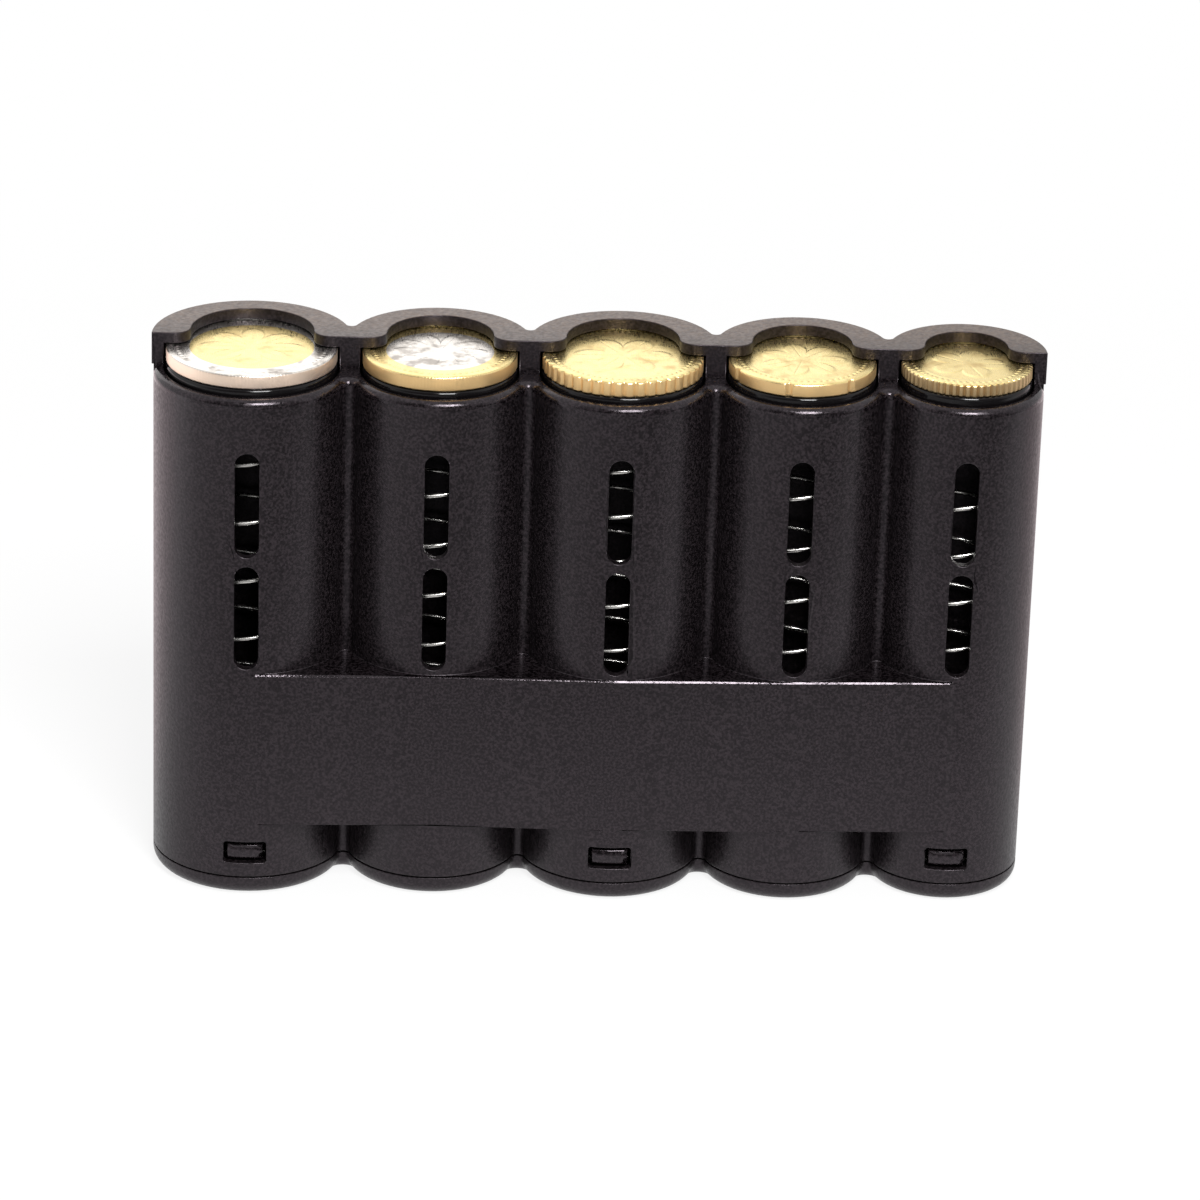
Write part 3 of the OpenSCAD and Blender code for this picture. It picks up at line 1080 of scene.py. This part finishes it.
@dataclass(frozen=True)
class Studio:
    """White surroundings: a world that is darker ahead of the holder, two soft lamps and a white floor.

    The floor is mirrored darker ahead of the holder, and lighter and pinker behind it. Each of these has
    a direction, in degrees to the left of straight ahead, and distances between which it sets in.
    """

    ambient: float = 0.42
    dark_ahead: float = 0.85
    dark_rise: Span = (0.2, 0.75)
    paper: Colour = (0.93, 0.93, 0.93)
    floor_radius: float = 4.0
    floor_sides: int = 96
    # Where it is seen, the floor glows by this much up to the near distance, and wholly past the far one
    floor_near: float = 0.14
    floor_far: float = 0.34
    floor_glow: float = 0.85
    dim: float = 0.9
    dim_rise: Span = (0.03, 0.14)
    dim_turn: float = 4.0
    # The darkening ahead falls off over these distances, to this share
    fall: Span = (0.15, 0.25)
    fall_rest: float = 0.15
    fall_turn: float = 40.0
    lift: float = 0.65
    lift_rise: Span = (0.02, 0.14)
    lift_turn: float = 155.0
    blush: Colour = (1.0, 0.86, 0.88)
    blush_rise: Span = (0.0, 0.05)
    blush_turn: float = 180.0
    lamps: tuple[Lamp, ...] = (
        Lamp("front softbox", azimuth=12.0, elevation=46.0, distance=0.9, size=0.3, power=10.0),
        Lamp("rear softbox", azimuth=200.0, elevation=28.0, distance=1.1, size=0.98, power=2.5,
             colour=(1.0, 0.95, 0.92)),
    )

    def build(self) -> None:
        """Makes the world, the lamps and the floor."""
        bpy.context.scene.view_settings.view_transform = "Standard"
        self.world()
        for lamp in self.lamps:
            lamp.build()
        self.floor()

    def world(self) -> None:
        """Makes the world, which gloss mirrors darker ahead of the holder."""
        world = bpy.data.worlds.new("white surroundings")
        bpy.context.scene.world = world
        nodes = Nodes(world)
        background = nodes.add("Background", {"Color": WHITE})
        light = nodes.ranged(self.seen(nodes), WHOLE, (self.ambient, 1.0))
        ahead = nodes.math("MULTIPLY", nodes.axes(nodes.add("TexCoord").outputs["Generated"])["Y"], -1.0)
        loss = nodes.math("MULTIPLY", nodes.ranged(ahead, self.dark_rise, (0.0, self.dark_ahead)),
                          nodes.add("LightPath").outputs["Is Glossy Ray"])
        nodes.feed(background.inputs["Strength"], nodes.math("SUBTRACT", light, loss))
        nodes.add("OutputWorld", {"Surface": background.outputs["Background"]})

    def seen(self, nodes: Nodes) -> Socket:
        """Gives 1 for rays from the camera, and for those that gloss or glass sends on.

        Args:
            nodes: The nodes of the world or the material.

        Returns:
            The socket.
        """
        path = nodes.add("LightPath").outputs
        mirrored = nodes.math("MAXIMUM", path["Is Glossy Ray"], path["Is Transmission Ray"])
        return nodes.math("MAXIMUM", path["Is Camera Ray"], mirrored)

    def rising(self, nodes: Nodes, turn: float, rise: Span, end: Span = WHOLE) -> Socket:
        """Gives a value that changes with the distance from the holder's middle in one direction.

        Args:
            nodes: The floor's nodes.
            turn: The direction, in degrees to the left of straight ahead.
            rise: The distances between which the value changes.
            end: The values there.

        Returns:
            The value's socket.
        """
        towards = (-math.sin(math.radians(turn)), -math.cos(math.radians(turn)), 0.0)
        along = nodes.add("VectorMath", {0: nodes.place(), 1: towards}, operation="DOT_PRODUCT")
        return nodes.ranged(along.outputs["Value"], rise, end)

    def floor(self) -> None:
        """Makes the floor."""
        bm = bmesh.new()
        bmesh.ops.create_circle(bm, cap_ends=True, segments=self.floor_sides, radius=self.floor_radius)
        mesh = bpy.data.meshes.new("floor")
        bm.to_mesh(mesh)
        bm.free()
        floor = bpy.data.objects.new("floor", mesh)
        bpy.context.scene.collection.objects.link(floor)
        mesh.materials.append(self.floor_finish())

    def floor_finish(self) -> bpy.types.Material:
        """Makes the floor's material: paper, which glows where it is seen, and more so farther away.

        Returns:
            The new material.
        """
        material = bpy.data.materials.new("white floor")
        nodes = Nodes(material)
        distance = nodes.add("VectorMath", {0: nodes.place()}, operation="LENGTH").outputs["Value"]
        away = nodes.ranged(distance, (self.floor_near, self.floor_far), (self.floor_glow, 1.0))
        ahead = nodes.math("MULTIPLY",
                           self.rising(nodes, self.dim_turn, self.dim_rise, (0.0, self.dim)),
                           self.rising(nodes, self.fall_turn, self.fall, (1.0, self.fall_rest)))
        behind = self.rising(nodes, self.lift_turn, self.lift_rise, (0.0, self.lift))
        mirrored = nodes.math("SUBTRACT", 1.0, nodes.add("LightPath").outputs["Is Camera Ray"])
        change = nodes.math("MULTIPLY", nodes.math("SUBTRACT", behind, ahead), mirrored)
        blushing = nodes.math("MULTIPLY", self.rising(nodes, self.blush_turn, self.blush_rise), mirrored)
        paper = nodes.add("BsdfDiffuse", {"Color": self.paper})
        glow = nodes.add("Emission", {
            "Color": nodes.blend(blushing, WHITE, self.blush),
            "Strength": nodes.math("ADD", 1.0, change),
        })
        share = nodes.math("MULTIPLY", away, self.seen(nodes))
        mix = nodes.add("MixShader", {0: share, 1: paper.outputs["BSDF"], 2: glow.outputs["Emission"]})
        nodes.add("OutputMaterial", {"Surface": mix.outputs["Shader"]})
        return material


@dataclass(frozen=True)
class CoinHolder:
    """The whole holder, built piece by piece round the frame."""

    black: Colour = (0.0050, 0.0030, 0.0040)
    black_light: Colour = (0.0078, 0.0050, 0.0065)
    front_drop: float = 5.1 * MM
    rim_round: float = 1.2 * MM
    band_top: float = 37.0 * MM
    # How far the band's edge starts and ends to the right of the first and the last tube's middle
    band_starts: float = 1.5 * MM
    band_ends: float = -1.0 * MM
    plate_depth: float = 0.5 * MM
    # From a follower's edge to its tube's outside
    shell: float = 1.85 * MM
    # Heights of the windows, half the hooks' width, and how far in from a tube's outside the hooks reach
    window: Span = (5.5 * MM, 9.0 * MM)
    hook_half: float = 3.3 * MM
    hook_depth: float = 1.5 * MM
    crown: float = 0.1 * MM
    # Heights at which the housing's long facets are cut, each clear of its eased edges
    rows: tuple[float, ...] = tuple(height * MM for height in (
        4.4, 10.3, 11.6, 12.4, 36.5, 40.6, 51.6, 59.0, 69.6, 74.2, 79.3,
    ))
    # Over this height the housing's inner corners lie too close to its edges to be eased
    corners_to: float = 80 * MM
    # Open turns of each spring, and the direction in degrees in which its wire starts
    turns: tuple[float, ...] = (7.75, 9.0, 10.0, 8.75, 9.5)
    starts: tuple[float, ...] = (0.0, 175.0, 10.0, 225.0, 85.0)

    def handling_and_sheen(self) -> HandlingAndSheen:
        """Places the marks of handling and the painted sheen on the housing.

        Returns:
            The marks and the sheen.
        """
        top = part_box("housing")[1].z
        edge_ends = (middle_x("follower_1") + self.band_starts, middle_x("follower_5") + self.band_ends)
        return HandlingAndSheen(rim=top - self.front_drop, rim_round=self.rim_round, edge=self.band_top,
                        edge_ends=edge_ends, plate=top - self.plate_depth)

    def finishes(self) -> dict[Finish, bpy.types.Material]:
        """Makes the material of each finish.

        Returns:
            The materials by finish.
        """
        materials = {
            Finish.HOUSING: GrainedPlastic(
                "grained black housing", self.black, self.black_light, gloss=(0.31, 0.45),
                handling_and_sheen=self.handling_and_sheen()),
            Finish.BASE: GrainedPlastic(
                "grained black base", self.black, self.black_light, gloss=(0.28, 0.42),
                polished=self.window),
            Finish.FOLLOWER: SmoothPlastic(
                "glossy black follower", (0.003, 0.0025, 0.0028), gloss=(0.07, 0.18)),
            Finish.WIRE: DrawnWire("drawn spring wire", (0.72, 0.70, 0.67)),
            # The coins' upright edges get a painted reflection, and the rightmost one a painted shade
            Finish.GOLD: MintedMetal(
                "gold coin alloy", bright=(0.80, 0.645, 0.29), worn=(0.60, 0.44, 0.18),
                painted_edge_light=(0.92, 0.645, 0.315), painted_shade_from=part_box("coin_5")[0].x),
            Finish.SILVER: MintedMetal(
                "white coin alloy", bright=(0.74, 0.71, 0.665), worn=(0.36, 0.33, 0.30),
                painted_edge_light=(0.95, 0.77, 0.63), spot_ends=(0.46, 0.68)),
        }
        return {finish: material.build() for finish, material in materials.items()}

    def mouldings(self) -> list[Moulding]:
        """Lists the housing, the base with its rounder hooks, and the followers with their rounder crowns.

        Returns:
            The pieces.
        """
        hooks, followers = [], []
        for name in (f"follower_{number}" for number in range(1, 6)):
            middle, half, top = middle_x(name), half_width(name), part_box(name)[1].z
            hooks.append(Zone(middle, self.hook_half, self.hook_depth - half - self.shell, *self.window))
            crown = Zone(middle, 2 * half, 2 * half, top - self.crown, top + self.crown)
            followers.append(Moulding(name, name, Finish.FOLLOWER, ease=0.1 * MM, rounder=3.5,
                                      zones=(crown,), steps=5))
        return [
            Moulding("housing", "housing", Finish.HOUSING, ease=0.16 * MM, rows=self.rows,
                     corners_to=self.corners_to),
            Moulding("base_cap", "housing", Finish.BASE, ease=0.08 * MM, rounder=3.0, zones=tuple(hooks)),
            *followers,
        ]

    def springs(self) -> list[Spring]:
        """Lists the springs, with the turns and the start that the slots show of each."""
        numbered = enumerate(zip(self.turns, self.starts), 1)
        return [Spring(number, turns, math.radians(start)) for number, (turns, start) in numbered]

    def coins(self) -> list[Coin]:
        """Lists the coins, each with a whole number of columns to every mark of its edge.

        Returns:
            The coins.
        """
        gold, silver = Finish.GOLD, Finish.SILVER
        return [
            Coin(1, Edge.MILLED, marks=150, columns=450, petals=8, metal=silver, core_metal=gold),
            Coin(2, Edge.PART_MILLED, marks=144, columns=432, petals=10, metal=gold, core_metal=silver),
            Coin(3, Edge.SCALLOPED, marks=44, columns=440, petals=6, metal=gold),
            Coin(4, Edge.NOTCHED, marks=7, columns=420, petals=7, metal=gold),
            Coin(5, Edge.SCALLOPED, marks=60, columns=420, petals=5, metal=gold),
        ]

    def build(self) -> None:
        """Makes every piece and reports it."""
        workshop = Workshop(self.finishes())
        for part in [*self.mouldings(), *self.springs(), *self.coins()]:
            part.build(workshop)


def main() -> None:
    """Builds the camera, the studio and the holder."""
    logging.basicConfig(level=logging.INFO, format="%(message)s")
    ViewPoint().build()
    Studio().build()
    CoinHolder().build()


if __name__ == "__main__":
    main()
